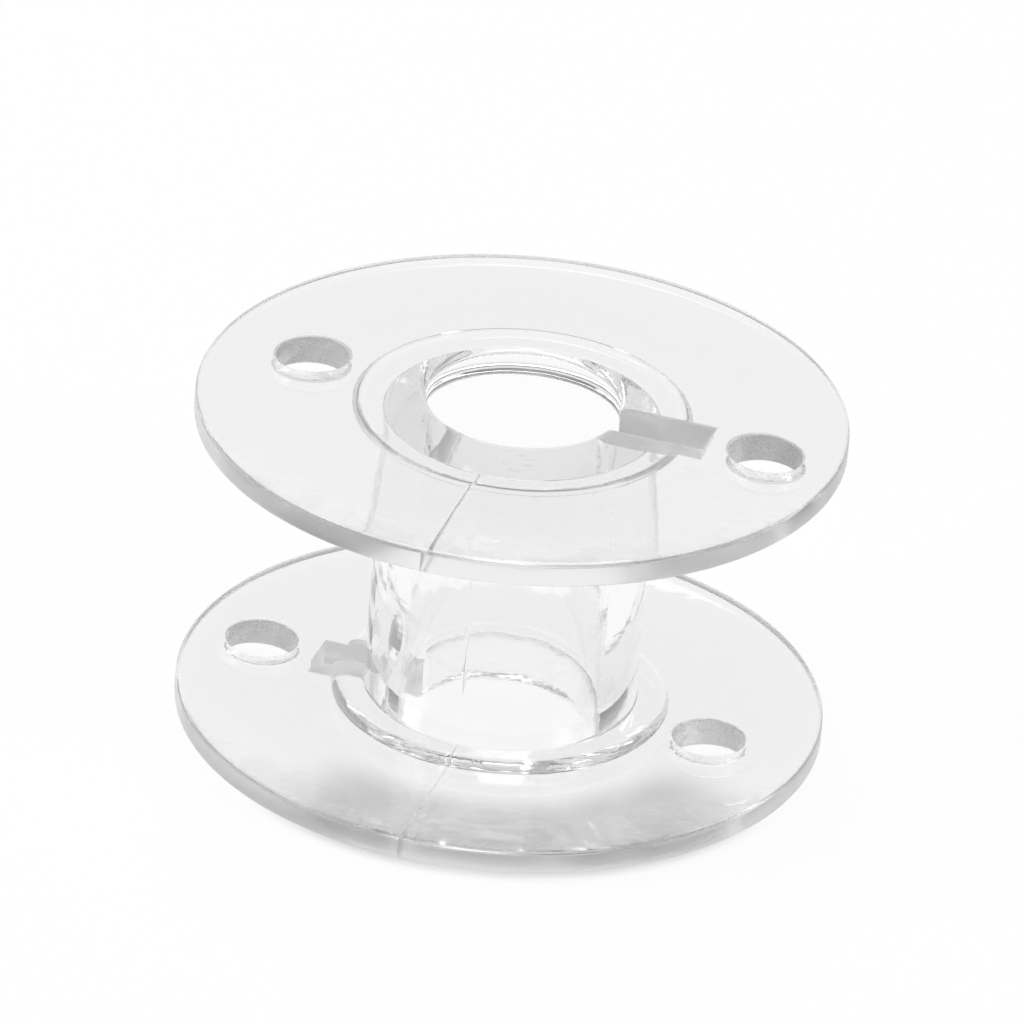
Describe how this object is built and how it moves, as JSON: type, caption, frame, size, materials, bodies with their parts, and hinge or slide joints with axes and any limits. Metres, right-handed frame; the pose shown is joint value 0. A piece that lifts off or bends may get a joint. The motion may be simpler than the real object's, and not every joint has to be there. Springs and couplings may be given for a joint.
{
  "type": "sewing machine bobbin",
  "caption": "Empty clear plastic sewing machine bobbin: two slightly dished flanges on a hollow hub, with thread holes and a winder slot in each end.",
  "frame": {"origin": "centre of the lower end face, where the bobbin stands", "axes": "+Z along the bore axis; the thread holes and slots lie on the X axis, with the upper end's slot towards +X and the lower end's towards -X"},
  "size_m": [0.0206, 0.0206, 0.0115],
  "materials": {
    "clear_plastic": "clear polished moulded polystyrene, colourless"
  },
  "bodies": {
    "root": {"lower_flange": "clear_plastic", "hub_tube": "clear_plastic", "upper_flange": "clear_plastic"}
  },
  "joints": []
}
